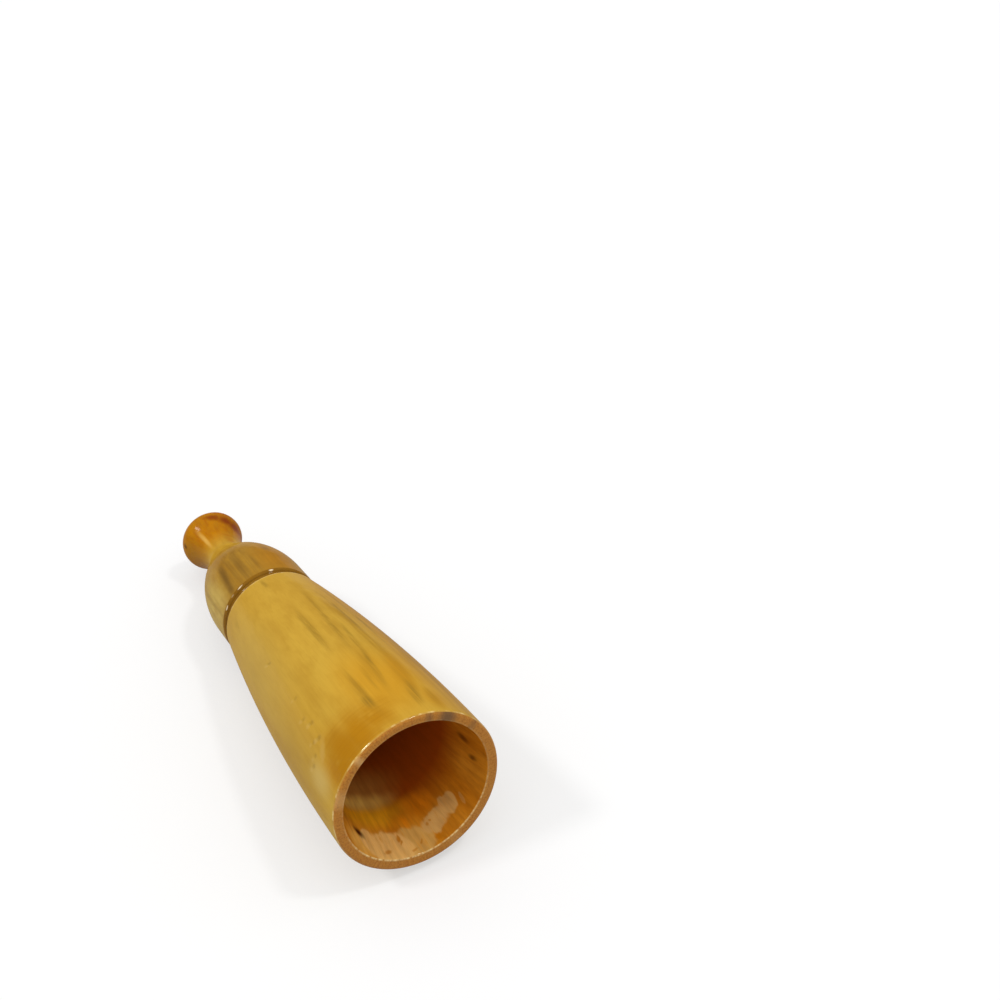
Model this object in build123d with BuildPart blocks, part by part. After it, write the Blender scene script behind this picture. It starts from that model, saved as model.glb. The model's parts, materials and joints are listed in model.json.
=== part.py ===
from build123d import *

import os
from math import acos, asin, atan2, cos, degrees, hypot, sin

# A turned boxwood bird call, lying on its side on the floor. A bell-shaped horn takes the corked tenon of a
# mouthpiece, and a brass beating reed on a small block is pushed into the open end of that tenon.
# Millimetres, +Z up, +X towards the bell's mouth, origin on the floor under the middle of the call.
# Stations are distances along the call's own axis, from the bell's mouth towards the lip.

# Bell: one convex arc from the mouth over the belly to the small end, with a conical bore
bell_length = 71.0
mouth_radius = 17.15
belly_radius = 15.89
bell_end_radius = 11.8
rim_wall = 2.2
rim_outer_round = 0.8
rim_inner_round = 0.3
bell_end_round = 0.3

# Mouthpiece, outside: groove collar, short drum, dome, cove, neck, flare and rounded lip
groove_width = 1.7
groove_depth = 0.8
head_radius = 11.7
head_edge_round = 0.75
drum_length = 8.1
dome_length = 22.95
cove_radius = 9.6
neck_wall = 2.5
flare_length = 10.8
lip_bead = 3.75
lip_land = 0.6

# Mouthpiece, inside: blow hole, and the reed chamber that runs out through the tenon
blow_hole_radius = 2.4
hole_round = 0.8
chamber_radius = 4.8
chamber_room = 10.0
chamber_point = 2.0

# Tenon joint: a cork sleeve sits in a turned recess and is a push fit in the bell's socket
tenon_length = 18.0
tenon_wall = 2.55
tenon_chamfer = 0.5
cork_thickness = 1.05
cork_proud = 0.1
cork_end_land = 2.2
glue_gap = 0.02
cork_fit = 0.05
socket_chamfer = 0.4

# Reed block: a plug with a rim that stops it against the tenon's end
block_length = 12.0
block_fit = 0.03
block_chamfer = 0.4
block_rim_width = 1.4
block_rim_thickness = 1.5
socket_end_gap = 0.3
throat_clearance = 0.8

# Brass reed: a half-round trough, a thin leaf over it, and the wedge that clamps both in the block
shallot_radius = 3.0
shallot_wall = 0.45
shallot_reach = 13.0
shallot_fit = 0.05
table_height = 0.4
tongue_thickness = 0.25
tongue_inset = 0.25
tongue_tip_inset = 0.5
tongue_tip_round = 0.8
tip_opening = 1.1
crease_gap = 0.06
wedge_setback = 3.0
wedge_proud = 0.8
wedge_lead = 0.5

# Radii that follow from the fits, from the reed outwards to the bell
mouth_bore_radius = mouth_radius - rim_wall
block_radius = chamber_radius - block_fit
block_bore_radius = shallot_radius + shallot_fit
block_rim_radius = chamber_radius + block_rim_width
throat_radius = block_rim_radius + throat_clearance
cork_seat_radius = chamber_radius + tenon_wall
cork_inner_radius = cork_seat_radius + glue_gap
cork_radius = cork_seat_radius + cork_thickness
tenon_radius = cork_radius - cork_proud
socket_radius = cork_radius + cork_fit
collar_radius = head_radius - groove_depth
neck_radius = blow_hole_radius + neck_wall
lip_end_radius = blow_hole_radius + hole_round + lip_land
lip_radius = lip_end_radius + lip_bead

# Stations along the axis
tenon_end = bell_length - tenon_length
block_face = tenon_end - block_rim_thickness
block_end = tenon_end + block_length
throat_station = block_face - socket_end_gap
head_edge = bell_length + groove_width
dome_start = head_edge + drum_length
neck_station = dome_start + dome_length
lip_station = neck_station + flare_length
lip_end = lip_station + lip_bead
wedge_start = block_face + wedge_setback
wedge_end = block_end + wedge_proud
shallot_end = block_end + shallot_reach
chamber_end = shallot_end + chamber_room
cork_start = tenon_end + cork_end_land
cork_end = bell_length - cork_end_land


def ogee_radius(crest, neck, known_radius):
    """Radius of the other arc of an S curve whose two ends, crest and neck, both run along the axis."""
    run, fall = neck[0] - crest[0], crest[1] - neck[1]
    return (run**2 + fall**2) / (2 * fall) - known_radius


def along(start, end, share):
    """The point at that share of the straight line from start to end."""
    return tuple(a + share * (b - a) for a, b in zip(start, end))


# Outline points of the dome, cove, flare and lip. An S curve's arcs meet on the chord between its ends.
dome_crest = (dome_start, head_radius)
neck = (neck_station, neck_radius)
lip_crest = (lip_station, lip_radius)
dome_radius = ogee_radius(dome_crest, neck, cove_radius)
flare_radius = ogee_radius(lip_crest, neck, lip_bead)
dome_meets_cove = along(dome_crest, neck, dome_radius / (dome_radius + cove_radius))
flare_meets_lip = along(lip_crest, neck, lip_bead / (lip_bead + flare_radius))

# How the call lies: the floor touches the belly arc and the dome arc, so it is the line tangent to both
mouth_edge = (0, mouth_radius)
belly = (bell_length / 2, belly_radius)
bell_end_edge = (bell_length, bell_end_radius)
belly_arc = ThreePointArc(mouth_edge, belly, bell_end_edge)
belly_centre = belly_arc.arc_center
centres_run = dome_start - belly_centre.X
centres_rise = head_radius - dome_radius - belly_centre.Y
centres_apart = hypot(centres_run, centres_rise)
tilt = atan2(centres_run, centres_rise) - acos((belly_arc.radius - dome_radius) / centres_apart)
mouth_height = sin(tilt) * belly_centre.X + cos(tilt) * belly_centre.Y + belly_arc.radius

# The call's reach along X on each side of the mouth's centre puts the origin under the middle
reach_mouth = (mouth_radius - rim_outer_round) * sin(tilt) + rim_outer_round * (1 - cos(tilt))
reach_lip = lip_station * cos(tilt) + lip_end_radius * sin(tilt) + lip_bead
mouth_x = (reach_lip - reach_mouth) / 2

# Profiles are drawn on the upright plane through the axis: local x is the station, local y the radius
call_plane = Plane(origin=(mouth_x, 0, mouth_height), x_dir=(-cos(tilt), 0, -sin(tilt)), z_dir=(0, 1, 0))
call_axis = Axis(call_plane.origin, call_plane.x_dir)


def section_plane(station):
    """The plane across the axis at a station, its local y upwards and its normal towards the lip."""
    origin = call_plane.from_local_coords((station, 0, 0))
    return Plane(origin=origin, x_dir=(0, -1, 0), z_dir=call_plane.x_dir)


# Bell: solid boxwood, turned outside, bored to a cone from the mouth and to a socket from the small end
with BuildPart() as bell:
    with BuildSketch(call_plane) as bell_profile:
        with BuildLine():
            ThreePointArc(mouth_edge, belly, bell_end_edge)
            Polyline(
                bell_end_edge,
                (bell_length, socket_radius),
                (throat_station, socket_radius),
                (throat_station, throat_radius),
                (0, mouth_bore_radius),
                mouth_edge,
            )
        make_face()
        corners = bell_profile.vertices()
        rim_outer = corners.sort_by_distance(mouth_edge)[0]
        rim_inner = corners.sort_by_distance((0, mouth_bore_radius))[0]
        end_outer = corners.sort_by_distance(bell_end_edge)[0]
        socket_mouth = corners.sort_by_distance((bell_length, socket_radius))[0]
        fillet(rim_outer, radius=rim_outer_round)
        fillet(rim_inner, radius=rim_inner_round)
        fillet(end_outer, radius=bell_end_round)
        chamfer(socket_mouth, length=socket_chamfer)
    revolve(axis=call_axis)

# Mouthpiece: lip, neck, dome and tenon in one turning, with the blow hole and the reed chamber through it
with BuildPart() as mouthpiece:
    with BuildSketch(call_plane) as mouthpiece_profile:
        with BuildLine():
            Polyline(
                (tenon_end, chamber_radius),
                (tenon_end, tenon_radius),
                (cork_start, tenon_radius),
                (cork_start, cork_seat_radius),
                (cork_end, cork_seat_radius),
                (cork_end, tenon_radius),
                (bell_length, tenon_radius),
                (bell_length, collar_radius),
                (head_edge, collar_radius),
                (head_edge, head_radius),
                dome_crest,
            )
            TangentArc(dome_crest, dome_meets_cove, tangent=(1, 0))
            TangentArc(neck, dome_meets_cove, tangent=(-1, 0))
            TangentArc(neck, flare_meets_lip, tangent=(1, 0))
            ThreePointArc(flare_meets_lip, lip_crest, (lip_end, lip_end_radius))
            Line((lip_end, lip_end_radius), (lip_end, blow_hole_radius + hole_round))
            TangentArc(
                (lip_end, blow_hole_radius + hole_round),
                (lip_end - hole_round, blow_hole_radius),
                tangent=(0, -1),
            )
            Polyline(
                (lip_end - hole_round, blow_hole_radius),
                (chamber_end + chamber_point, blow_hole_radius),
                (chamber_end, chamber_radius),
                (tenon_end, chamber_radius),
            )
        make_face()
        corners = mouthpiece_profile.vertices()
        head_corner = corners.sort_by_distance((head_edge, head_radius))[0]
        tenon_corner = corners.sort_by_distance((tenon_end, tenon_radius))[0]
        fillet(head_corner, radius=head_edge_round)
        chamfer(tenon_corner, length=tenon_chamfer)
    revolve(axis=call_axis)

# Tenon cork: a sleeve glued into the tenon's recess, a little proud of the wood
with BuildPart() as tenon_cork:
    with BuildSketch(section_plane(cork_start + glue_gap)):
        Circle(cork_radius)
        Circle(cork_inner_radius, mode=Mode.SUBTRACT)
    extrude(amount=cork_end - cork_start - 2 * glue_gap)

# Reed block: a plug in the chamber's open end, its rim against the tenon, bored through for the reed
with BuildPart() as reed_block:
    with BuildSketch(call_plane) as block_profile:
        with BuildLine():
            Polyline(
                (block_face, block_bore_radius),
                (block_face, block_rim_radius),
                (tenon_end, block_rim_radius),
                (tenon_end, block_radius),
                (block_end, block_radius),
                (block_end, block_bore_radius),
                close=True,
            )
        make_face()
        corners = block_profile.vertices()
        rim_corner = corners.sort_by_distance((block_face, block_rim_radius))[0]
        plug_corner = corners.sort_by_distance((block_end, block_radius))[0]
        chamfer([rim_corner, plug_corner], length=block_chamfer)
    revolve(axis=call_axis)

# Shallot: a half-round brass trough, open along its flat top and into the bell, closed at its tip
with BuildPart() as reed_shallot:
    with BuildSketch(section_plane(block_face)):
        Circle(shallot_radius)
        Circle(shallot_radius - shallot_wall, mode=Mode.SUBTRACT)
        with Locations((0, table_height)):
            Rectangle(2 * shallot_radius, shallot_radius, align=(Align.CENTER, Align.MIN), mode=Mode.SUBTRACT)
    extrude(amount=shallot_end - block_face)
    with BuildSketch(section_plane(shallot_end - shallot_wall)):
        Circle(shallot_radius)
        with Locations((0, table_height)):
            Rectangle(2 * shallot_radius, shallot_radius, align=(Align.CENTER, Align.MIN), mode=Mode.SUBTRACT)
    extrude(amount=shallot_wall)

# Clamped end of the brass leaf, flat between the shallot and the wedge
tongue_width = 2 * (shallot_radius - tongue_inset)
with BuildPart() as reed_tongue_root:
    with BuildSketch(section_plane(wedge_start)):
        with Locations((0, table_height)):
            Rectangle(tongue_width, tongue_thickness, align=(Align.CENTER, Align.MIN))
    extrude(amount=wedge_end - wedge_start)

# Free end of the leaf: bent up at the wedge, so that its tip stands open over the shallot until it is blown
tongue_base = table_height + glue_gap
tongue_length = shallot_end - tongue_tip_inset - wedge_end - crease_gap
tongue_lift = asin(tip_opening / tongue_length)
crease = call_plane.from_local_coords((wedge_end + crease_gap, tongue_base, 0))
leaf_direction = call_plane.x_dir * cos(tongue_lift) + call_plane.y_dir * sin(tongue_lift)
leaf_plane = Plane(origin=crease, x_dir=leaf_direction, z_dir=call_plane.z_dir)
with BuildPart() as reed_tongue:
    with BuildSketch(leaf_plane):
        Rectangle(tongue_length, tongue_thickness, align=(Align.MIN, Align.MIN))
    extrude(amount=tongue_width / 2, both=True)
    upright_edges = reed_tongue.edges().filter_by(Axis(crease, leaf_plane.y_dir))
    tip_edges = upright_edges.sort_by(Axis(crease, leaf_direction))[-2:]
    fillet(tip_edges, radius=tongue_tip_round)

# Wedge: a segment of dowel that fills the block's bore above the leaf, with a chamfered lead
wedge_flat = table_height + tongue_thickness
with BuildPart() as reed_wedge:
    with BuildSketch(section_plane(wedge_start)):
        Circle(shallot_radius)
        with Locations((0, wedge_flat)):
            Rectangle(
                2 * shallot_radius,
                shallot_radius + wedge_flat,
                align=(Align.CENTER, Align.MAX),
                mode=Mode.SUBTRACT,
            )
    extrude(amount=wedge_end - wedge_start)
    lead_edge = reed_wedge.faces().sort_by(call_axis)[0].edges().filter_by(GeomType.CIRCLE)
    chamfer(lead_edge, length=wedge_lead)

# One STEP file for each piece
pieces = {
    "bell": bell,
    "mouthpiece": mouthpiece,
    "tenon_cork": tenon_cork,
    "reed_block": reed_block,
    "reed_shallot": reed_shallot,
    "reed_tongue_root": reed_tongue_root,
    "reed_tongue": reed_tongue,
    "reed_wedge": reed_wedge,
}
os.makedirs("parts", exist_ok=True)
for name, piece in pieces.items():
    piece.part.label = name
    export_step(piece.part, f"parts/{name}.step")

belly_contact = belly_centre.X + belly_arc.radius * sin(tilt)
dome_contact = dome_start + dome_radius * sin(tilt)
print(f"length {lip_end:.2f}, axis leaning {degrees(tilt):.3f} degrees, mouth centre {call_plane.origin}")
print(f"rests on the belly at station {belly_contact:.2f} and on the dome at {dome_contact:.2f}")
print(f"leaf hinge {crease}, lifted {degrees(tongue_lift):.3f} degrees, {tongue_length:.2f} long")
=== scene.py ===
import json
from math import asin, atan2, ceil, cos, degrees, hypot, pi, radians, sin, sqrt, tan

import bpy
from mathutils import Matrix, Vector


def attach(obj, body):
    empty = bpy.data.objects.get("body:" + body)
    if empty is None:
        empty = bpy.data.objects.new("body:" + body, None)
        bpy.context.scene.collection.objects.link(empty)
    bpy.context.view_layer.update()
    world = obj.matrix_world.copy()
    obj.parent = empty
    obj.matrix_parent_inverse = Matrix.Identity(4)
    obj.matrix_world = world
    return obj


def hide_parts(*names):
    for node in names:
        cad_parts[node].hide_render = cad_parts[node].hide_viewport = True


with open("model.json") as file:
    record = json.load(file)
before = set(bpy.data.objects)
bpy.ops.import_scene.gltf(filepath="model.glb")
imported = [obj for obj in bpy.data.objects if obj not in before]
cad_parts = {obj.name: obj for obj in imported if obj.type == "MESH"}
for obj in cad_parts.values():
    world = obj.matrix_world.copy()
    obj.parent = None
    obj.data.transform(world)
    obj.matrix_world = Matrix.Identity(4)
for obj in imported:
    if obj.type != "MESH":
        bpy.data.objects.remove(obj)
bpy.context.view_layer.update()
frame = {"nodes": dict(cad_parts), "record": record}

# Bell
# The horn of the call: one block of boxwood, turned outside and bored to a cone from its mouth, with a
# socket for the mouthpiece's tenon at its small end. Outside and bore are varnished.
mm = 0.001
mounts = {mount["name"]: mount for mount in frame["record"]["mounts"]}
to_lip = Vector(mounts["blow_hole"]["axis"])
upwards = Vector((to_lip.z, 0, -to_lip.x))
mouth_centre = Vector(mounts["mouth_rim"]["pos_m"])
mouth_centre.y = 0
lean = asin(-to_lip.z)

# Sizes are in mm. An outline's points are (station, radius): the station runs along the axis, from the
# mouth towards the lip.
bell_length = 71.0
mouth_radius = 17.15
belly_radius = 15.89
bell_end_radius = 11.8
mouth_bore_radius = 14.95
rim_outer_round = 0.8
rim_inner_round = 0.3
bell_end_round = 0.3
throat_station = 51.2
throat_radius = 7.0
socket_radius = 8.45
socket_chamfer = 0.4
collar_radius = 10.9

# How finely pieces are turned: steps along an outline in mm, the distance at which points are joined, the
# segments round the axis, and in degrees the sharpest corner that is shaded smooth.
fine_step = 0.45
bore_step = 0.9
corner_step = 0.08
weld_distance = 0.001
bell_segments = 288
smooth_angle = 40


def circle_through(a, b, c):
    """Centre and radius of the circle through three points of an outline."""
    (ax, ay), (bx, by), (cx, cy) = a, b, c
    a2, b2, c2 = ax**2 + ay**2, bx**2 + by**2, cx**2 + cy**2
    turn = 2 * (ax * (by - cy) + bx * (cy - ay) + cx * (ay - by))
    x = (a2 * (by - cy) + b2 * (cy - ay) + c2 * (ay - by)) / turn
    y = (a2 * (cx - bx) + b2 * (ax - cx) + c2 * (bx - ax)) / turn
    return (x, y), hypot(ax - x, ay - y)


def direction(start, end):
    """The angle in degrees from one outline point to another: 0 is towards the lip, 90 is outwards."""
    return degrees(atan2(end[1] - start[1], end[0] - start[0]))


def arc(centre, radius, start, end, step):
    """Points of an outline along an arc from one angle to another, both ends included."""
    count = max(2, ceil(radians(abs(end - start)) * radius / step))
    angles = [radians(start + (end - start) * i / count) for i in range(count + 1)]
    return [(centre[0] + radius * cos(a), centre[1] + radius * sin(a)) for a in angles]


def line(start, end, step):
    """Points of an outline along a straight stretch, both ends included."""
    count = max(1, ceil(hypot(end[0] - start[0], end[1] - start[1]) / step))
    shares = [i / count for i in range(count + 1)]
    return [(start[0] + t * (end[0] - start[0]), start[1] + t * (end[1] - start[1])) for t in shares]


def turn_on_lathe(name, outline, segments):
    """A turned piece: the closed outline is drawn point by point above the axis, and spun round it."""
    points = [mouth_centre + mm * (station * to_lip + radius * upwards) for station, radius in outline]
    bpy.ops.object.select_all(action="DESELECT")
    bpy.ops.mesh.primitive_plane_add(size=mm, location=(0, 0, 0))
    piece = bpy.context.object
    piece.name = name
    piece.data.name = name
    bpy.ops.object.mode_set(mode="EDIT")
    bpy.ops.mesh.merge(type="CENTER")
    bpy.ops.transform.translate(value=points[0])
    for here, there in zip(points, points[1:] + points[:1]):
        bpy.ops.mesh.extrude_vertices_move(TRANSFORM_OT_translate={"value": there - here})
    bpy.ops.mesh.select_all(action="SELECT")
    bpy.ops.mesh.remove_doubles(threshold=weld_distance * mm)
    bpy.ops.mesh.select_all(action="SELECT")
    bpy.ops.mesh.spin(steps=segments, angle=2 * pi, center=mouth_centre, axis=to_lip, use_auto_merge=True)
    bpy.ops.mesh.select_all(action="SELECT")
    bpy.ops.mesh.remove_doubles(threshold=weld_distance * mm)
    bpy.ops.mesh.normals_make_consistent(inside=False)
    bpy.ops.object.mode_set(mode="OBJECT")
    bpy.ops.object.shade_smooth_by_angle(angle=radians(smooth_angle))
    return piece


belly_centre, belly_arc_radius = circle_through(
    (0, mouth_radius), (bell_length / 2, belly_radius), (bell_length, bell_end_radius)
)


def under_belly(station, inset):
    """The point at a station that lies an inset below the belly's arc."""
    reach = belly_arc_radius - inset
    return station, belly_centre[1] + sqrt(reach**2 - (station - belly_centre[0]) ** 2)


rim_centre = under_belly(rim_outer_round, rim_outer_round)
end_centre = under_belly(bell_length - bell_end_round, bell_end_round)
belly_start = direction(belly_centre, rim_centre)
belly_end = direction(belly_centre, end_centre)
bore_lean = atan2(mouth_bore_radius - throat_radius, throat_station)
bore_edge_radius = mouth_bore_radius - rim_inner_round * tan(bore_lean) + rim_inner_round / cos(bore_lean)
bore_edge_centre = (rim_inner_round, bore_edge_radius)
bore_edge = arc(bore_edge_centre, rim_inner_round, 270 - degrees(bore_lean), 180, corner_step)
bell_outline = [
    *arc(rim_centre, rim_outer_round, 180, belly_start, corner_step),
    *arc(belly_centre, belly_arc_radius, belly_start, belly_end, fine_step)[1:],
    *arc(end_centre, bell_end_round, belly_end, 0, corner_step)[1:],
    (bell_length, collar_radius),
    (bell_length, socket_radius + socket_chamfer),
    (bell_length - socket_chamfer, socket_radius),
    (throat_station, socket_radius),
    *line((throat_station, throat_radius), bore_edge[0], bore_step),
    *bore_edge[1:],
]
bell = turn_on_lathe("bell_turned", bell_outline, bell_segments)


def place_on_piece(point, normal):
    """A point's station and radius in mm, its angle in degrees from the top, leftwards seen from the
    mouth, and how far its normal points away from the axis, from -1 to 1."""
    reach = (point - mouth_centre) / mm
    station = reach.dot(to_lip)
    spoke = reach - station * to_lip
    angle = degrees(atan2(-spoke.y, spoke.dot(upwards)))
    return station, spoke.length, angle, normal.dot(spoke.normalized())


# Small pits in the varnish: station, angle, half the length and half the width in mm, and depth as a share
# of the deepest.
deepest_pit = 0.16
pits = [
    (10.4, 68, 1.0, 0.7, 0.8),
    (11.0, 62, 0.8, 0.6, 0.7),
    (12.6, 52, 1.1, 0.8, 1.0),
    (13.4, 57, 0.7, 0.6, 0.6),
    (17.0, 50, 1.1, 0.7, 0.9),
    (20.0, 53, 0.9, 0.6, 0.7),
    (26.0, 49, 0.8, 0.6, 0.6),
    (41.5, 51, 1.2, 0.5, 0.8),
    (33.0, -74, 1.0, 0.6, 0.7),
    (52.0, -118, 0.9, 0.6, 0.6),
    (24.0, 141, 1.1, 0.7, 0.8),
]
pit_group = bell.vertex_groups.new(name="varnish_pits")
# The bore was drilled a little off centre: at the mouth it lies higher, and further left, than the outside.
drift_up = 0.42
drift_left = 0.18
drift_depth = 30
drift_group = bell.vertex_groups.new(name="bore_drift")
for vertex in bell.data.vertices:
    station, radius, angle, outward = place_on_piece(vertex.co, vertex.normal)
    for pit_station, pit_angle, length, width, depth in pits:
        distance = hypot((station - pit_station) / length, radians(angle - pit_angle) * radius / width)
        if outward > 0 and distance < 1:
            pit_group.add([vertex.index], depth * (1 - distance**2) ** 2, "REPLACE")
    if station < drift_depth and radius < mouth_bore_radius + rim_inner_round + corner_step:
        drift_group.add([vertex.index], 1 - max(station, 0) / drift_depth, "REPLACE")
bpy.context.view_layer.objects.active = bell
moves = [
    ("varnish_pits", "NORMAL", -deepest_pit),
    ("bore_drift", "Z", drift_up),
    ("bore_drift", "Y", -drift_left),
]
for group, way, distance in moves:
    move = bell.modifiers.new(group, "DISPLACE")
    move.vertex_group = group
    move.direction = way
    move.mid_level = 0
    move.strength = distance * mm
    bpy.ops.object.modifier_apply(modifier=move.name)


def linear(hex_colour):
    """The linear colour of an sRGB hex value."""
    parts = [int(hex_colour[i:i + 2], 16) / 255 for i in (1, 3, 5)]
    return (*[p / 12.92 if p <= 0.04045 else ((p + 0.055) / 1.055) ** 2.4 for p in parts], 1)


def add_node(tree, kind, inputs, **settings):
    """Adds a node. inputs maps a socket's name or number to a value, a node or another node's socket."""
    node = tree.nodes.new("ShaderNode" + kind)
    for name, value in settings.items():
        setattr(node, name, value)
    sockets = [socket for socket in node.inputs if socket.enabled]
    for key, value in inputs.items():
        socket = sockets[key] if isinstance(key, int) else next(s for s in sockets if s.name == key)
        if isinstance(value, bpy.types.Node):
            value = next(output for output in value.outputs if output.enabled)
        if isinstance(value, bpy.types.NodeSocket):
            tree.links.new(value, socket)
        else:
            socket.default_value = value
    return node


def new_material(name):
    """A new material and its node tree, which is still empty."""
    material = bpy.data.materials.new(name)
    material.use_nodes = True
    material.node_tree.nodes.clear()
    return material, material.node_tree


def turned_place(tree, sign=1):
    """A point's place on a turned piece: in mm along and across the axis, and its station and angle from
    the top. With a sign of -1 the angle is taken from the bottom instead."""
    coordinates = add_node(tree, "TexCoord", {})
    inputs = {"Vector": coordinates.outputs["Object"], "Location": mouth_centre, "Rotation": (0, lean, pi)}
    place = add_node(tree, "Mapping", {**inputs, "Scale": (mm, mm, mm)}, vector_type="TEXTURE")
    parts = add_node(tree, "SeparateXYZ", {"Vector": place})
    height = add_node(tree, "Math", {0: parts.outputs["Z"], 1: sign}, operation="MULTIPLY")
    angle = add_node(tree, "Math", {0: parts.outputs["Y"], 1: height}, operation="ARCTAN2")
    return place, parts.outputs["X"], angle


def figure(tree, place, along, across, start, full, strongest=1):
    """How strongly an uneven figure of the grain shows. Its patches are about as long along the axis, and
    as wide across it, as given in mm, and it grows to its strongest as smooth noise goes from start to
    full."""
    spread = add_node(tree, "Mapping", {"Vector": place, "Scale": (1 / along, 1 / across, 1 / across)})
    clouds = add_node(tree, "TexNoise", {"Vector": spread, "Scale": 1, "Detail": 3, "Roughness": 0.55})
    levels = {"Value": clouds, "From Min": start, "From Max": full, "To Max": strongest}
    return add_node(tree, "MapRange", levels)


waver_length = 9
waver_width = 3


def unrolled(tree, place, station, angle, girth, ragged):
    """The surface rolled out flat in mm, station by girth, with its lines made ragged. They stray by about
    that many mm along the axis, and by half as many round it."""
    round_it = add_node(tree, "Math", {0: angle, 1: girth}, operation="MULTIPLY")
    flat = add_node(tree, "CombineXYZ", {"X": station, "Y": round_it})
    scale = (1 / waver_length, 1 / waver_width, 1 / waver_width)
    spread = add_node(tree, "Mapping", {"Vector": place, "Scale": scale})
    waver = add_node(tree, "TexNoise", {"Vector": spread, "Scale": 1, "Detail": 4})
    middle = (0.5, 0.5, 0.5)
    centred = add_node(tree, "VectorMath", {0: waver.outputs["Color"], 1: middle}, operation="SUBTRACT")
    stray = (4 * ragged, 2 * ragged, 0)
    shift = add_node(tree, "VectorMath", {0: centred, 1: stray}, operation="MULTIPLY")
    return add_node(tree, "VectorMath", {0: flat, 1: shift}, operation="ADD")


def stain(tree, colour, flat, girth, tint, spots, sharp=0.1, through=1):
    """Lays oval marks of a tint over a colour. Each is a station, an angle, half its length and half its
    width in mm, its slant in degrees and its strength. Their edges are soft, or harder the closer sharp is
    to 1, and a pattern that they show through breaks them up."""
    cover = 0
    for station, angle, half_length, half_width, slant, strength in spots:
        inputs = {"Location": (station, radians(angle) * girth, 0), "Rotation": (0, 0, radians(slant))}
        inputs["Scale"] = (half_length, half_width, 1)
        oval = add_node(tree, "Mapping", {"Vector": flat, **inputs}, vector_type="TEXTURE")
        distance = add_node(tree, "VectorMath", {0: oval}, operation="LENGTH")
        fade = {"Value": distance.outputs["Value"], "From Min": 1, "From Max": sharp, "To Max": strength}
        mark = add_node(tree, "MapRange", fade, interpolation_type="SMOOTHSTEP")
        cover = add_node(tree, "Math", {0: cover, 1: mark}, operation="MAXIMUM")
    share = add_node(tree, "Math", {0: cover, 1: through}, operation="MULTIPLY")
    return add_node(tree, "Mix", {"Factor": share, "A": colour, "B": linear(tint)}, data_type="RGBA")


def boxwood(tree, place, pale, gold, deep):
    """Boxwood's colour: close even grain with broad soft bands along the block, faint blotches and fibres.
    Real fibres are too fine to show, so they are drawn about a third of a mm wide."""
    bands = figure(tree, place, along=110, across=6, start=0.3, full=0.7)
    inputs = {"Factor": bands, "A": linear(pale), "B": linear(gold)}
    colour = add_node(tree, "Mix", inputs, data_type="RGBA")
    blotches = figure(tree, place, along=14, across=4, start=0.5, full=0.85, strongest=0.5)
    inputs = {"Factor": blotches, "A": colour, "B": linear(deep)}
    colour = add_node(tree, "Mix", inputs, data_type="RGBA")
    fibres = figure(tree, place, along=12, across=0.35, start=0.45, full=0.8, strongest=0.3)
    inputs = {"Factor": fibres, "A": colour, "B": linear(deep)}
    return add_node(tree, "Mix", inputs, data_type="RGBA"), fibres


def varnish(tree, colour, place, fibres, gloss, coat_roughness):
    """A clear varnish over wood: its film dips a little over the grain, and lies unevenly where it ran.
    The film is all that shines, because wood soaked in varnish throws back no light of its own there."""
    grain = add_node(tree, "Bump", {"Strength": 0.25, "Distance": 0.02 * mm, "Height": fibres})
    runs = figure(tree, place, along=7, across=4, start=0.2, full=0.8)
    film = add_node(tree, "Bump", {"Strength": 0.35, "Distance": 0.25 * mm, "Height": runs})
    shader = add_node(tree, "BsdfPrincipled", {
        "Base Color": colour, "Roughness": 0.5, "IOR": 1.5, "Specular IOR Level": 0, "Normal": grain,
        "Coat Weight": gloss, "Coat Roughness": coat_roughness, "Coat IOR": 1.5, "Coat Normal": film,
    })
    add_node(tree, "OutputMaterial", {"Surface": shader})


# Varnished boxwood, outside of the bell: golden yellow with amber varnish that has run at the mouth,
# browner on the right side, and with olive-brown streaks along the grain.
material_bell, tree = new_material("varnished_boxwood_bell")
place, station, angle = turned_place(tree)
colour, fibres = boxwood(tree, place, "#D2A83E", "#C89A33", "#B28428")
soaked = figure(tree, place, along=7, across=3, start=0.5, full=0.75, strongest=0.45)
colour = add_node(tree, "Mix", {"Factor": soaked, "A": colour, "B": linear("#B88A28")}, data_type="RGBA")
bell_girth = 15
flat = unrolled(tree, place, station, angle, bell_girth, ragged=0.2)
brown_side = [
    (35.0, -52, 75.0, 11.0, 0, 1.0),
    (17.0, -20.5, 14.0, 3.0, -8, 0.9),
    (5.0, -27, 7.0, 3.0, -3, 0.9),
    (20.0, 150, 26.0, 6.0, 0, 0.5),
]
broad_grain = figure(tree, place, along=60, across=4, start=0.1, full=0.45)
colour = stain(tree, colour, flat, bell_girth, "#BE8820", brown_side, through=broad_grain)
olive_side = [(18.0, 80, 22.0, 8.0, 0, 0.5)]
colour = stain(tree, colour, flat, bell_girth, "#B48C38", olive_side)
# A paler oval along the left flank: painted sheen.
pale_side = [(45.0, 62, 32.0, 10.0, 0, 0.5)]
colour = stain(tree, colour, flat, bell_girth, "#C8A650", pale_side)
warm_mouth = [(14.0, -4, 19.0, 11.0, 0, 0.65)]
colour = stain(tree, colour, flat, bell_girth, "#D29418", warm_mouth)
ragged = unrolled(tree, place, station, angle, bell_girth, ragged=1.0)
mottle = figure(tree, place, along=4, across=4, start=0.1, full=0.42)
amber_runs = [
    (2.0, 51, 10.5, 5.6, 0, 1.0),
    (4.0, 42, 12.0, 6.0, 0, 1.0),
    (4.0, 30, 11.0, 6.0, 0, 1.0),
    (5.0, 17, 6.5, 4.5, 0, 0.9),
    (7.0, 7, 4.5, 3.5, 0, 0.4),
]
colour = stain(tree, colour, ragged, bell_girth, "#B87E10", amber_runs, through=mottle)
turning_rings = figure(tree, place, along=0.5, across=16, start=0.45, full=0.7, strongest=0.4)
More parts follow.
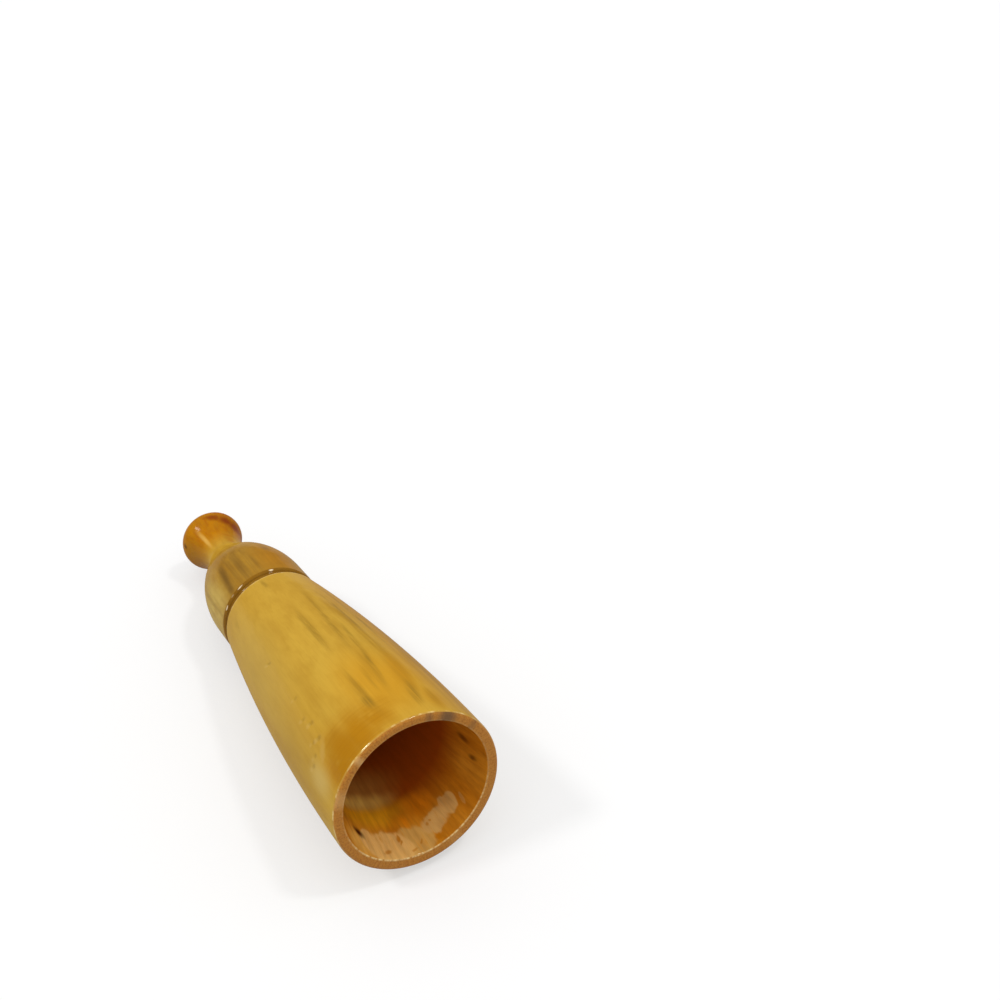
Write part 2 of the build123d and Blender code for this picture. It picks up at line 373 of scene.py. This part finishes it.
colour = stain(tree, colour, ragged, bell_girth, "#A86C0E", amber_runs, through=turning_rings)
run_edge = [(1.0, 45, 11.0, 4.0, 0, 0.3)]
colour = stain(tree, colour, ragged, bell_girth, "#A8700E", run_edge, sharp=0.75)
pale_margin = [(7.0, 70, 6.5, 3.6, 0, 0.45), (9.3, 56, 4.5, 1.2, -39, 0.2)]
colour = stain(tree, colour, flat, bell_girth, "#DABE74", pale_margin)
grain_lines = figure(tree, place, along=70, across=1.4, start=0.35, full=0.62)
streak_bundles = [
    (38.0, -22.0, 32.0, 2.6, -2.0, 0.6),
    (30.0, -42.0, 44.0, 5.0, 0, 0.8),
    (41.0, -6.0, 26.0, 2.2, -4.2, 0.45),
    (22.0, -5.0, 18.0, 2.0, -5.0, 0.45),
    (41.0, 9.0, 16.0, 1.8, -1.5, 0.45),
    (14.0, 12.0, 13.0, 2.0, 0, 0.5),
    (16.0, -19.5, 15.0, 2.4, -8.0, 0.3),
    (35.0, 45.0, 40.0, 9.0, 0, 0.12),
    (33.0, -85.0, 30.0, 5.0, 1.0, 0.6),
    (40.0, -125.0, 34.0, 4.0, 0, 0.6),
    (30.0, 125.0, 34.0, 6.0, 1.5, 0.5),
    (45.0, 168.0, 30.0, 4.0, -1.0, 0.6),
]
colour = stain(tree, colour, flat, bell_girth, "#A2761E", streak_bundles, through=grain_lines)
single_streaks = [
    (9.8, 13.5, 3.6, 1.2, 0, 0.8),
    (14.0, 13.2, 9.0, 1.1, 0, 0.35),
    (16.0, 2.5, 7.0, 0.8, -2.5, 0.35),
    (20.5, -6.2, 11.0, 0.8, -5.3, 0.6),
    (32.0, -10.2, 9.0, 0.7, -5.3, 0.5),
    (40.0, 9.2, 13.0, 1.0, -1.5, 0.65),
    (45.3, 8.8, 4.5, 0.9, 0, 0.6),
    (41.5, -6.0, 19.0, 0.8, -4.2, 0.55),
    (36.0, -4.6, 8.0, 0.7, -4.2, 0.6),
    (44.0, -23.4, 16.0, 0.8, 0, 0.55),
    (42.0, -33.0, 24.0, 0.8, -1.0, 0.5),
    (7.5, -15.0, 6.5, 1.4, -8.0, 0.6),
    (5.5, -25.0, 6.0, 1.1, 0, 0.35),
    (67.5, 12.0, 4.0, 1.2, 0, 0.45),
    (64.0, 60.0, 5.0, 1.2, 0, 0.3),
]
streak_fibres = figure(tree, place, along=25, across=0.45, start=0.3, full=0.6)
colour = stain(tree, colour, flat, bell_girth, "#8A681E", single_streaks, through=streak_fibres)
# The pits are painted darker: painted shade.
pit_slant = 35
pit_shade_strength = 0.3
pit_shade = [
    (pit_station, pit_angle, length, width, pit_slant, pit_shade_strength * depth)
    for pit_station, pit_angle, length, width, depth in pits
]
colour = stain(tree, colour, flat, bell_girth, "#6A5018", pit_shade)
# The edge of each pit that faces the lip and the left side is painted paler: a painted highlight.
pit_highlight_station = 0.4
pit_highlight_angle = 3
pit_highlight_strength = 0.14
pit_highlights = [
    (pit_station + pit_highlight_station, pit_angle + pit_highlight_angle, length, width, pit_slant, pit_highlight_strength * depth)
    for pit_station, pit_angle, length, width, depth in pits
]
colour = stain(tree, colour, flat, bell_girth, "#EED794", pit_highlights)
# A pale broken line along the bell's end edge: partly rubbed varnish, partly a painted highlight where the
# edge catches the light.
rub_and_highlight_starts = 0.8
rub_and_highlight_full = 0.5
rubbed_and_highlit = {"Value": station, "From Min": bell_length - rub_and_highlight_starts, "From Max": bell_length - rub_and_highlight_full}
chips = figure(tree, place, along=2, across=1.5, start=0.4, full=0.65, strongest=0.55)
rubbed_and_highlit_share = add_node(tree, "MapRange", rubbed_and_highlit)
rubbed_and_highlit_edge = add_node(tree, "Math", {0: rubbed_and_highlit_share, 1: chips}, operation="MULTIPLY")
inputs = {"Factor": rubbed_and_highlit_edge, "A": colour, "B": linear("#E8CC84")}
colour = add_node(tree, "Mix", inputs, data_type="RGBA")
varnish(tree, colour, place, fibres, gloss=0.15, coat_roughness=0.15)

# End grain of the rim: brown, with pores drawn out towards the edges, a grey stain at the upper right,
# pale spots that are painted highlights, and a painted highlight along the edge of the bore. Real pores are
# too fine to show, so they are drawn about 0.4 mm wide.
material_rim, tree = new_material("end_grain_boxwood_rim")
place, station, angle = turned_place(tree)
flat = unrolled(tree, place, station, angle, mouth_radius, ragged=0.3)
rays = figure(tree, flat, along=3, across=0.35, start=0.3, full=0.75, strongest=0.6)
inputs = {"Factor": rays, "A": linear("#C68634"), "B": linear("#AA681E")}
colour = add_node(tree, "Mix", inputs, data_type="RGBA")
pores = figure(tree, place, along=0.5, across=0.4, start=0.45, full=0.75, strongest=0.7)
colour = add_node(tree, "Mix", {"Factor": pores, "A": colour, "B": linear("#8E4E14")}, data_type="RGBA")
red_flecks = figure(tree, flat, along=1.5, across=0.6, start=0.55, full=0.7, strongest=0.45)
inputs = {"Factor": red_flecks, "A": colour, "B": linear("#A8541E")}
colour = add_node(tree, "Mix", inputs, data_type="RGBA")
grey_stains = [
    (0.0, -27, 3.0, 3.2, 0, 0.85),
    (0.0, -50, 3.0, 1.4, 0, 0.4),
    (0.0, -13, 3.0, 1.4, 0, 0.5),
]
colour = stain(tree, colour, flat, mouth_radius, "#6E5236", grey_stains)
# Pale spots, most on the left of the rim: painted highlights.
rim_highlight_spots = [
    (0.0, 41, 3.0, 1.3, 0, 0.45),
    (0.0, 70, 3.0, 3.0, 0, 0.35),
    (0.0, -155, 3.0, 2.5, 0, 0.15),
]
colour = stain(tree, colour, flat, mouth_radius, "#E2B878", rim_highlight_spots)
off_centre = (0, -drift_left, -drift_up)
across = add_node(tree, "VectorMath", {0: place, 1: (0, 1, 1), 2: off_centre}, operation="MULTIPLY_ADD")
radius = add_node(tree, "VectorMath", {0: across}, operation="LENGTH")
# The pale line along the bore's edge is a painted highlight, brightest along the lower half where the edge
# faces up, told by the angle in radians from the top.
lowness = add_node(tree, "Math", {0: angle}, operation="ABSOLUTE")
lower_half = {"Value": lowness, "From Min": 1.6, "From Max": 2.3, "To Min": 0.2}
brightest = add_node(tree, "MapRange", lower_half)
highlight_line_starts = mouth_bore_radius + 0.4
highlight_line_full = mouth_bore_radius + 0.15
highlight_line_band = {"Value": radius.outputs["Value"], "From Min": highlight_line_starts, "From Max": highlight_line_full}
highlight_line_share = add_node(tree, "MapRange", highlight_line_band)
lower_lit_edge = add_node(tree, "Math", {0: highlight_line_share, 1: brightest}, operation="MULTIPLY")
chips = figure(tree, flat, along=2, across=1.0, start=0.35, full=0.62)
painted_highlight_line = add_node(tree, "Math", {0: lower_lit_edge, 1: chips}, operation="MULTIPLY")
inputs = {"Factor": painted_highlight_line, "A": colour, "B": linear("#F2D490")}
colour = add_node(tree, "Mix", inputs, data_type="RGBA")
varnish(tree, colour, place, pores, gloss=0.3, coat_roughness=0.2)

# Varnished bore: deep amber where the varnish pooled, painted redder and darker inwards as painted shade,
# with fine lines left by the reamer, and a tan stretch inside the mouth and a pale band further in that are
# painted reflections.
material_bore, tree = new_material("varnished_boxwood_bore")
place, station, from_bottom = turned_place(tree, sign=-1)
colour, _ = boxwood(tree, place, "#E0962A", "#CC7A12", "#9C5206")
bore_girth = 13
flat = unrolled(tree, place, station, from_bottom, bore_girth, ragged=0.5)
# Inwards the bore is painted redder and darker: painted shade.
deeper = add_node(tree, "MapRange", {"Value": station, "From Min": 8, "From Max": 15})
colour = add_node(tree, "Mix", {"Factor": deeper, "A": colour, "B": linear("#A8500E")}, data_type="RGBA")
ragged = unrolled(tree, place, station, from_bottom, bore_girth, ragged=1.1)
patchy = figure(tree, place, along=5, across=1.5, start=0.2, full=0.55)
golden = [(11.8, 29, 4.8, 12.5, 0, 1.0)]
colour = stain(tree, colour, flat, bore_girth, "#FFB820", golden)
amber_pool = [(10.5, -18, 4.0, 5.5, 0, 1.0), (9.0, 2, 2.6, 3.0, 0, 0.9)]
colour = stain(tree, colour, ragged, bore_girth, "#EA8C14", amber_pool, through=patchy)
brown_slope = [(19.5, 28, 8.0, 13.0, 0, 1.0)]
colour = stain(tree, colour, flat, bore_girth, "#C68B3D", brown_slope)
# A pale band further in: a painted reflection.
pale_reflection_band = [(15.4, 33, 3.4, 11.0, 0, 0.95)]
colour = stain(tree, colour, flat, bore_girth, "#FFD468", pale_reflection_band)
# The tan stretch inside the mouth, streaky along the axis and ragged at its edge, is a painted reflection of
# the room in the wet varnish.
reflection_streaks = figure(tree, place, along=12, across=0.5, start=0.1, full=0.45)
tan_margin = [(2.8, 54, 5.4, 4.8, 0, 0.95)]
colour = stain(tree, colour, flat, bore_girth, "#EEB454", tan_margin, sharp=0.2)
tan_middle = [(3.0, 3, 4.8, 3.8, 0, 1.0)]
colour = stain(tree, colour, ragged, bore_girth, "#E0AC58", tan_middle, sharp=0.8, through=reflection_streaks)
tan_patches = [(3.0, 25, 4.8, 5.2, 0, 1.0), (4.6, 41, 3.6, 2.0, 0, 1.0)]
colour = stain(tree, colour, ragged, bore_girth, "#F2BE6C", tan_patches, sharp=0.8, through=reflection_streaks)
tan_finger = [
    (5.0, -21, 2.9, 3.4, 0, 1.0),
    (5.8, -38, 2.6, 1.8, 0, 1.0),
    (3.5, -49, 1.6, 0.6, -20, 0.5),
]
colour = stain(tree, colour, ragged, bore_girth, "#E2B064", tan_finger, sharp=0.75, through=reflection_streaks)
varnish_drops = [
    (5.2, 13, 1.5, 0.5, 10, 0.9),
    (4.0, 12, 0.8, 0.4, -30, 0.8),
    (1.9, -14, 1.0, 1.1, 20, 0.9),
    (5.8, -13, 0.7, 0.4, 0, 0.7),
    (6.2, -17, 0.5, 0.35, 0, 0.7),
    (2.6, -2, 0.9, 0.3, -20, 0.7),
    (2.4, 28, 0.7, 1.4, 15, 0.7),
    (1.2, 6, 0.5, 1.0, 0, 0.6),
]
colour = stain(tree, colour, ragged, bore_girth, "#C8780E", varnish_drops, sharp=0.3)
knots = [
    (6.4, 49, 2.2, 1.3, 30, 1.0),
    (7.4, -98, 2.4, 1.4, 0, 0.7),
    (4.8, -84, 2.0, 0.8, 0, 0.7),
]
colour = stain(tree, colour, flat, bore_girth, "#2E1606", knots)
reamer = figure(tree, place, along=40, across=1.0, start=0.4, full=0.65, strongest=0.28)
colour = add_node(tree, "Mix", {"Factor": reamer, "A": colour, "B": linear("#864206")}, data_type="RGBA")
varnish(tree, colour, place, reamer, gloss=0.45, coat_roughness=0.12)

# Bare boxwood: pale yellow and dull, as cut, where no varnish reaches.
material_bare, tree = new_material("bare_boxwood")
place, _, _ = turned_place(tree)
colour, fibres = boxwood(tree, place, "#E2C88C", "#D8B873", "#B99252")
cut = add_node(tree, "Bump", {"Strength": 0.4, "Distance": 0.03 * mm, "Height": fibres})
inputs = {"Base Color": colour, "Roughness": 0.6, "IOR": 1.5, "Normal": cut}
shader = add_node(tree, "BsdfPrincipled", inputs)
add_node(tree, "OutputMaterial", {"Surface": shader})

# Thick varnish on the edges: pale here and there, partly rubbed and partly painted highlight, with two
# painted glints on the bell's end edge, and glossy enough to glint.
material_edge, tree = new_material("thick_varnish_edge")
place, station, angle = turned_place(tree)
colour, fibres = boxwood(tree, place, "#CC9C3A", "#BE8C30", "#9C6C20")
rubbed_and_highlit = figure(tree, place, along=2.5, across=2.5, start=0.5, full=0.65, strongest=0.7)
colour = add_node(tree, "Mix", {"Factor": rubbed_and_highlit, "A": colour, "B": linear("#F0D48C")}, data_type="RGBA")
edge_girth = 11.7
flat = unrolled(tree, place, station, angle, edge_girth, ragged=0.1)
# Two painted glints on the bell's end edge.
bell_end_glints = [(70.85, -7, 0.3, 1.3, 0, 0.8), (70.85, 31, 0.3, 1.4, 0, 0.8)]
colour = stain(tree, colour, flat, edge_girth, "#FFF2D8", bell_end_glints, sharp=0.4)
varnish(tree, colour, place, fibres, gloss=0.6, coat_roughness=0.06)

# Brown varnish that has pooled in the groove: dark, partly from the varnish and partly as painted shade in
# the groove, wet-looking and smooth, with painted glints in spots.
material_groove, tree = new_material("pooled_varnish_and_groove_shade")
place, station, angle = turned_place(tree)
colour, fibres = boxwood(tree, place, "#96680E", "#865A0A", "#684408")
groove_girth = 11.5
flat = unrolled(tree, place, station, angle, groove_girth, ragged=0.1)
# Pale spots on the mouthpiece's edge at the groove: painted glints.
painted_groove_glints = [
    (73.15, -6, 0.28, 0.7, 0, 0.85),
    (73.2, 33.5, 0.2, 1.0, 0, 0.75),
    (73.2, 46, 0.2, 0.6, 0, 0.25),
    (73.2, 61, 0.2, 0.8, 0, 0.7),
]
colour = stain(tree, colour, flat, groove_girth, "#FFEAC0", painted_groove_glints, sharp=0.4)
varnish(tree, colour, place, fibres, gloss=0.25, coat_roughness=0.04)

# Faces take their finish from where they lie, and from how far they turn away from the axis.
bell_finishes = [material_bell, material_rim, material_bore, material_bare, material_edge, material_groove]
side_outward = 0.95
edge_outward = 0.8
bore_outward = -0.85
end_outward = 0.1
for material in bell_finishes:
    bell.data.materials.append(material)
for face in bell.data.polygons:
    station, radius, _, outward = place_on_piece(face.center, face.normal)
    finish = material_bell
    if station < rim_outer_round and outward < side_outward:
        finish = material_edge if outward > edge_outward else material_rim
    if outward < bore_outward:
        finish = material_bore
    if station > throat_station - bore_step / 2 and outward < end_outward:
        finish = material_bare
    if station > bell_length - bell_end_round and outward > end_outward:
        finish = material_edge
    if station > bell_length - corner_step / 2 and radius > collar_radius:
        finish = material_groove
    face.material_index = bell_finishes.index(finish)
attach(bell, "bell")
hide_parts("bell")

# Mouthpiece
# One boxwood turning: rounded lip, neck, dome and collar, all varnished, and the bare tenon that the bell
# hides. The blow hole runs in from the lip to the wider reed chamber, which is open at the tenon's end.
groove_width = 1.7
head_radius = 11.7
head_edge_round = 0.75
drum_length = 8.1
dome_length = 22.95
cove_radius = 9.6
neck_radius = 4.9
flare_length = 10.8
lip_bead = 3.75
lip_radius = 7.55
blow_hole_radius = 2.4
hole_round = 0.8
chamber_radius = 4.8
chamber_length = 35.0
chamber_point = 2.0
tenon_length = 18.0
tenon_radius = 8.3
tenon_chamfer = 0.5
cork_end_land = 2.2
cork_seat_radius = 7.35
head_segments = 256
head_edge = bell_length + groove_width
dome_start = head_edge + drum_length
neck_station = dome_start + dome_length
lip_station = neck_station + flare_length
lip_end = lip_station + lip_bead
tenon_end = bell_length - tenon_length
chamber_end = tenon_end + chamber_length
cork_start = tenon_end + cork_end_land
cork_end = bell_length - cork_end_land


def ogee(crest, neck, known_radius):
    """The other radius of an S curve whose two ends run along the axis, and the point where its arcs
    meet."""
    run, fall = neck[0] - crest[0], crest[1] - neck[1]
    both = (run**2 + fall**2) / (2 * fall)
    share = 1 - known_radius / both
    return both - known_radius, (crest[0] + share * run, crest[1] - share * fall)


dome_radius, dome_meets_cove = ogee((dome_start, head_radius), (neck_station, neck_radius), cove_radius)
dome_centre = (dome_start, head_radius - dome_radius)
dome_turn = direction(dome_centre, dome_meets_cove)
flare_radius, _ = ogee((lip_station, lip_radius), (neck_station, neck_radius), lip_bead)
lip_centre = (lip_station, lip_radius - lip_bead)
flare_centre = (neck_station, neck_radius + flare_radius)
lip_turn = direction(lip_centre, flare_centre)
head_edge_centre = (head_edge + head_edge_round, head_radius - head_edge_round)
# The groove's floor is hollow, because varnish has pooled along both its sides.
pool_rise = 0.3
pool_edge = 0.03
groove_start = (bell_length + pool_edge, collar_radius + pool_rise)
groove_low = (bell_length + groove_width / 2, collar_radius)
groove_end = (head_edge - pool_edge, collar_radius + pool_rise)
groove_centre, groove_round = circle_through(groove_start, groove_low, groove_end)
groove_from = direction(groove_centre, groove_start) + 360
groove_to = direction(groove_centre, groove_end) + 360
mouthpiece_outline = [
    (tenon_end, chamber_radius),
    (tenon_end, tenon_radius - tenon_chamfer),
    (tenon_end + tenon_chamfer, tenon_radius),
    (cork_start, tenon_radius),
    (cork_start, cork_seat_radius),
    (cork_end, cork_seat_radius),
    (cork_end, tenon_radius),
    (bell_length, tenon_radius),
    (bell_length, groove_start[1]),
    *arc(groove_centre, groove_round, groove_from, groove_to, corner_step),
    *arc(head_edge_centre, head_edge_round, 180, 90, corner_step),
    *line((head_edge + head_edge_round, head_radius), (dome_start, head_radius), fine_step)[1:],
    *arc(dome_centre, dome_radius, 90, dome_turn, fine_step)[1:],
    *arc((neck_station, neck_radius + cove_radius), cove_radius, dome_turn + 180, 270, fine_step)[1:],
    *arc(flare_centre, flare_radius, 270, lip_turn + 180, fine_step)[1:],
    *arc(lip_centre, lip_bead, lip_turn, 0, fine_step / 2)[1:],
    *arc((lip_end - hole_round, blow_hole_radius + hole_round), hole_round, 0, -90, 2 * corner_step),
    (chamber_end + chamber_point, blow_hole_radius),
    (chamber_end, chamber_radius),
]
mouthpiece = turn_on_lathe("mouthpiece_turned", mouthpiece_outline, head_segments)

# Varnished boxwood of the mouthpiece: browner than the bell, with grey-brown streaks along the dome, a
# golden neck and a deep orange lip that has a red-brown band.
material_mouthpiece, tree = new_material("varnished_boxwood_mouthpiece")
place, station, angle = turned_place(tree)
colour, fibres = boxwood(tree, place, "#B88C30", "#A87A25", "#8C6119")
head_girth = 11
flat = unrolled(tree, place, station, angle, head_girth, ragged=0.4)
pale_side = [(80.0, 80, 18.0, 9.5, 0, 0.95)]
colour = stain(tree, colour, flat, head_girth, "#D4B65E", pale_side)
orange_side = [(79.0, -24, 15.0, 7.0, 0, 1.0), (84.0, -11, 3.0, 1.8, 0, 0.7)]
colour = stain(tree, colour, flat, head_girth, "#B67C1A", orange_side)
golden_neck = add_node(tree, "MapRange", {"Value": station, "From Min": 90, "From Max": 97})
inputs = {"Factor": golden_neck, "A": colour, "B": linear("#C89A32")}
colour = add_node(tree, "Mix", inputs, data_type="RGBA")
orange_lip = add_node(tree, "MapRange", {"Value": station, "From Min": 103, "From Max": 108.5})
inputs = {"Factor": orange_lip, "A": colour, "B": linear("#BE7A02")}
colour = add_node(tree, "Mix", inputs, data_type="RGBA")
clouds = figure(tree, place, along=5, across=2.5, start=0.4, full=0.75, strongest=0.5)
colour = add_node(tree, "Mix", {"Factor": clouds, "A": colour, "B": linear("#9C6A16")}, data_type="RGBA")
lip_grain = figure(tree, place, along=7, across=1.0, start=0.42, full=0.68)
whole_lip = [(111.5, 0, 7.0, 40.0, 0, 0.6)]
colour = stain(tree, colour, flat, head_girth, "#A85C06", whole_lip, through=lip_grain)
dull_lip = [(109.0, 97, 10.0, 10.0, 0, 0.6)]
colour = stain(tree, colour, flat, head_girth, "#A4741A", dull_lip)
dome_lines = figure(tree, place, along=60, across=1.1, start=0.35, full=0.65)
dome_bundles = [
    (80.0, -18.0, 18.0, 6.0, 0, 0.2),
    (80.0, 20.0, 18.0, 6.0, 0, 0.52),
    (80.0, 41.0, 16.0, 2.2, -5, 0.5),
    (80.0, 70.0, 16.0, 4.0, 0, 0.35),
    (80.0, -60.0, 16.0, 5.0, 0, 0.5),
    (80.0, 150.0, 16.0, 7.0, 0, 0.5),
]
colour = stain(tree, colour, flat, head_girth, "#765420", dome_bundles, through=dome_lines)
dome_streaks = [
    (80.0, 40.5, 9.0, 1.2, -5.6, 0.75),
    (75.8, 42.5, 4.0, 1.2, -5.6, 0.65),
    (79.0, 20.0, 6.0, 1.1, -4.0, 0.2),
    (79.0, 30.0, 8.0, 0.6, -4.0, 0.1),
    (79.0, 3.0, 5.0, 0.9, 0, 0.25),
    (84.6, -21.0, 2.6, 1.6, 0, 0.35),
    (82.0, -95.0, 12.0, 1.0, 0, 0.5),
    (80.0, 130.0, 13.0, 0.9, 0, 0.5),
]
colour = stain(tree, colour, flat, head_girth, "#70501E", dome_streaks)
# Next to the groove the mouthpiece turns darker brown: partly pooled varnish, partly painted shade.
pool_and_shade_fades = head_edge + 1.2
pool_and_shade_full = head_edge + 0.4
pooled_and_shaded = add_node(tree, "MapRange", {"Value": station, "From Min": pool_and_shade_fades, "From Max": pool_and_shade_full})
colour = add_node(tree, "Mix", {"Factor": pooled_and_shaded, "A": colour, "B": linear("#96691E")}, data_type="RGBA")
lip_shade = [
    (115.0, -32, 2.4, 7.0, -10, 0.85),
    (106.6, -22, 0.7, 5.0, -14, 0.45),
    (104.0, -20, 3.0, 3.0, 0, 0.4),
]
colour = stain(tree, colour, flat, head_girth, "#B06208", lip_shade)
lip_band = [
    (113.2, -5, 1.3, 5.0, -10, 0.9),
    (111.9, -32, 1.9, 6.0, -13, 1.0),
    (111.1, -56, 2.5, 7.0, 0, 1.0),
    (111.2, -90, 1.4, 7.5, 4, 0.85),
    (111.8, -122, 0.9, 6.0, 6, 0.6),
]
colour = stain(tree, colour, flat, head_girth, "#8A3E06", lip_band)
# A pale trail down the flare from the lip towards the neck: a painted highlight.
painted_highlight_trail = [(108.3, 39, 5.0, 1.6, 0, 0.6)]
colour = stain(tree, colour, flat, head_girth, "#EEC060", painted_highlight_trail)
lip_spot = [(113.4, 80, 0.9, 1.6, 20, 0.8)]
colour = stain(tree, colour, flat, head_girth, "#5A3C0C", lip_spot)
varnish(tree, colour, place, fibres, gloss=0.17, coat_roughness=0.15)

# The tenon, the chamber and the blow hole face the axis, or lie in the bell, and stay bare.
head_finishes = [material_mouthpiece, material_bare, material_groove]
inside_outward = -0.6
for material in head_finishes:
    mouthpiece.data.materials.append(material)
for face in mouthpiece.data.polygons:
    station, _, _, outward = place_on_piece(face.center, face.normal)
    finish = material_mouthpiece
    if bell_length < station < head_edge + head_edge_round:
        finish = material_groove
    if station < bell_length + corner_step / 4 or outward < inside_outward:
        finish = material_bare
    face.material_index = head_finishes.index(finish)
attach(mouthpiece, "head")
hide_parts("mouthpiece")

# Tenon cork
# A strip of natural cork, glued round the seat that is turned in the tenon, and sanded to a push fit in
# the bell's socket.


def finish_nodes(names, material):
    """Gives CAD nodes a material in place of the one they came with."""
    for name in names:
        slots = frame["nodes"][name].data.materials
        slots.clear()
        slots.append(material)


# Natural cork: dull tan and brown, close-grained, with open dark flecks where its pores were cut.
material_cork, tree = new_material("natural_cork")
place, _, _ = turned_place(tree)
grains = figure(tree, place, along=0.9, across=0.7, start=0.3, full=0.7)
inputs = {"Factor": grains, "A": linear("#BE9060"), "B": linear("#9C6C40")}
colour = add_node(tree, "Mix", inputs, data_type="RGBA")
flecks = figure(tree, place, along=1.6, across=0.7, start=0.58, full=0.68)
colour = add_node(tree, "Mix", {"Factor": flecks, "A": colour, "B": linear("#5A3820")}, data_type="RGBA")
pitted = add_node(tree, "Bump", {"Strength": 0.7, "Distance": 0.1 * mm, "Height": flecks})
shader = add_node(tree, "BsdfPrincipled", {"Base Color": colour, "Roughness": 0.8, "Normal": pitted})
add_node(tree, "OutputMaterial", {"Surface": shader})
finish_nodes(["tenon_cork"], material_cork)

# Reed block and wedge
# Bare boxwood, like the tenon: the block is turned to plug the tenon's end, and the wedge is split from a
# dowel and driven in beside the reed.
finish_nodes(["reed_block", "reed_wedge"], material_bare)

# Brass reed
# The shallot is bent from brass sheet. The leaf that beats on it is cut from rolled brass, curled up at
# the wedge, and clamped with it in the block.

# Rolled brass: yellow, bright and a little tarnished. Lines left by the rolls are too fine to show, so they
# are drawn 0.12 mm wide.
material_brass, tree = new_material("rolled_brass")
place, _, _ = turned_place(tree)
rolling = figure(tree, place, along=12, across=0.12, start=0.2, full=0.8)
inputs = {"Factor": rolling, "A": linear("#D9B05A"), "B": linear("#B98A3A")}
colour = add_node(tree, "Mix", inputs, data_type="RGBA")
tarnish = figure(tree, place, along=3, across=2, start=0.4, full=0.7)
dull = add_node(tree, "MapRange", {"Value": tarnish, "To Min": 0.22, "To Max": 0.42})
lines = add_node(tree, "Bump", {"Strength": 0.2, "Distance": 0.01 * mm, "Height": rolling})
inputs = {"Base Color": colour, "Metallic": 1, "Roughness": dull, "Normal": lines}
shader = add_node(tree, "BsdfPrincipled", inputs)
add_node(tree, "OutputMaterial", {"Surface": shader})
finish_nodes(["reed_shallot", "reed_tongue_root", "reed_tongue"], material_brass)

# Floor
# A plain white table top, matt, that keeps the call's soft shadow. Where it is seen or mirrored it is whiter
# and glows a little, but it throws back less light on the call. Its width is in metres.
floor_width = 6
own_glow = 0.5
bpy.ops.object.select_all(action="DESELECT")
bpy.ops.mesh.primitive_plane_add(size=floor_width, location=(0, 0, 0))
floor = bpy.context.object
floor.name = "floor"
material_floor, tree = new_material("matt_white_table")
rays = add_node(tree, "LightPath", {}).outputs
reflections = {0: rays["Is Glossy Ray"], 1: rays["Is Transmission Ray"]}
mirrored = add_node(tree, "Math", reflections, operation="MAXIMUM")
seen = add_node(tree, "Math", {0: rays["Is Camera Ray"], 1: mirrored}, operation="MAXIMUM")
inputs = {"Factor": seen, "A": linear("#AAAAAA"), "B": linear("#FCFCFC")}
colour = add_node(tree, "Mix", inputs, data_type="RGBA")
inputs = {"Base Color": colour, "Roughness": 0.9, "Specular IOR Level": 0.1}
matt = add_node(tree, "BsdfPrincipled", inputs)
glow = add_node(tree, "Emission", {"Color": (1, 1, 1, 1), "Strength": 1})
lifted = add_node(tree, "Math", {0: seen, 1: own_glow}, operation="MULTIPLY")
add_node(tree, "OutputMaterial", {"Surface": add_node(tree, "MixShader", {0: lifted, 1: matt, 2: glow})})
floor.data.materials.append(material_floor)

# Light
# A soft lamp high on the left, a weaker one on the right, and a pale room that is brightest overhead.
# A lamp has a name, the way towards it, its strength, and in degrees how wide it looks.
lamps = [
    ("left_lamp", (-0.172, -0.623, 0.764), 0.75, 9),
    ("right_lamp", (0.248, 0.369, 0.896), 0.45, 7),
]
for name, towards, strength, spread in lamps:
    lamp = bpy.data.lights.new(name, "SUN")
    lamp.energy = strength
    lamp.angle = radians(spread)
    lamp_object = bpy.data.objects.new(name, lamp)
    lamp_object.rotation_euler = Vector(towards).to_track_quat("Z", "Y").to_euler()
    bpy.context.scene.collection.objects.link(lamp_object)

room = bpy.data.worlds.new("pale_room")
bpy.context.scene.world = room
room.use_nodes = True
room.node_tree.nodes.clear()
tree = room.node_tree
overhead = (0.45, -0.12, 0.885)
coordinates = add_node(tree, "TexCoord", {})
inputs = {0: coordinates.outputs["Generated"], 1: overhead}
height = add_node(tree, "VectorMath", inputs, operation="DOT_PRODUCT")
level = {"Value": height.outputs["Value"], "From Min": -1, "From Max": 1, "To Min": 0.1, "To Max": 0.92}
brightness = add_node(tree, "MapRange", level)
walls = add_node(tree, "Background", {"Color": (1, 1, 1, 1), "Strength": brightness})
add_node(tree, "OutputWorld", {"Surface": walls})

# Camera
# Where the photograph was taken from: above and in front of the mouth, a little to its left. Its place is
# in metres, its turn in degrees, and its sensor and lens are in mm.
camera_place = (0.217149, -0.073683, 0.195217)
camera_turn = (57.302, 0.6127, 59.557)
sensor_width = 36
focal_length = 47.0
nearest_seen = 0.01
camera = bpy.data.cameras.new("camera")
camera.sensor_width = sensor_width
camera.lens = focal_length
camera.clip_start = nearest_seen
camera_object = bpy.data.objects.new("camera", camera)
camera_object.location = camera_place
camera_object.rotation_euler = [radians(turn) for turn in camera_turn]
bpy.context.scene.collection.objects.link(camera_object)
bpy.context.scene.camera = camera_object
bpy.context.scene.view_settings.view_transform = "Standard"
